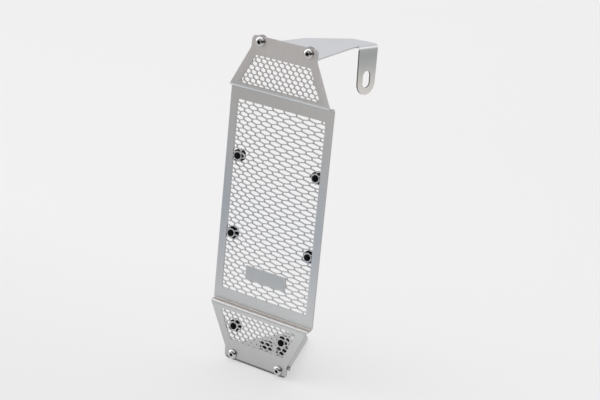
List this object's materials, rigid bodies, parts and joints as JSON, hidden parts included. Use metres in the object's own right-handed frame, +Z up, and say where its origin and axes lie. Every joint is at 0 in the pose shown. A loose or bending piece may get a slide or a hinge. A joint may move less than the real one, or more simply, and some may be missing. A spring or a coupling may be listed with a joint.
{
  "type": "oil cooler guard",
  "caption": "Folded stainless guard with a hexagonal mesh core and two bolted wings, an upper and a lower bracket, rubber bumpers and button head screws.",
  "frame": {"origin": "on the surface it stands on, under the middle of the whole guard's box", "axes": "+Z up as it stands by itself, +Y towards the cooler and the motorcycle, +X to the right as seen from its front; the core leans back 9.7 degrees from +Z"},
  "size_m": [0.1148, 0.1664, 0.3152],
  "materials": {
    "stainless_sheet": "satin stainless",
    "bright_screw": "polished stainless",
    "black_rubber": "matt black rubber"
  },
  "bodies": {
    "root": {"guard_sheet": "stainless_sheet", "upper_bracket": "stainless_sheet", "lower_bracket": "stainless_sheet", "upper_left_screw": "bright_screw", "upper_left_nut": "bright_screw", "lower_left_screw": "bright_screw", "lower_left_nut": "bright_screw", "upper_left_bumper": "black_rubber", "middle_left_bumper": "black_rubber", "foot_left_bumper": "black_rubber", "left_cushion": "black_rubber", "upper_right_screw": "bright_screw", "upper_right_nut": "bright_screw", "lower_right_screw": "bright_screw", "lower_right_nut": "bright_screw", "upper_right_bumper": "black_rubber", "middle_right_bumper": "black_rubber", "foot_right_bumper": "black_rubber", "right_cushion": "black_rubber"}
  },
  "joints": []
}
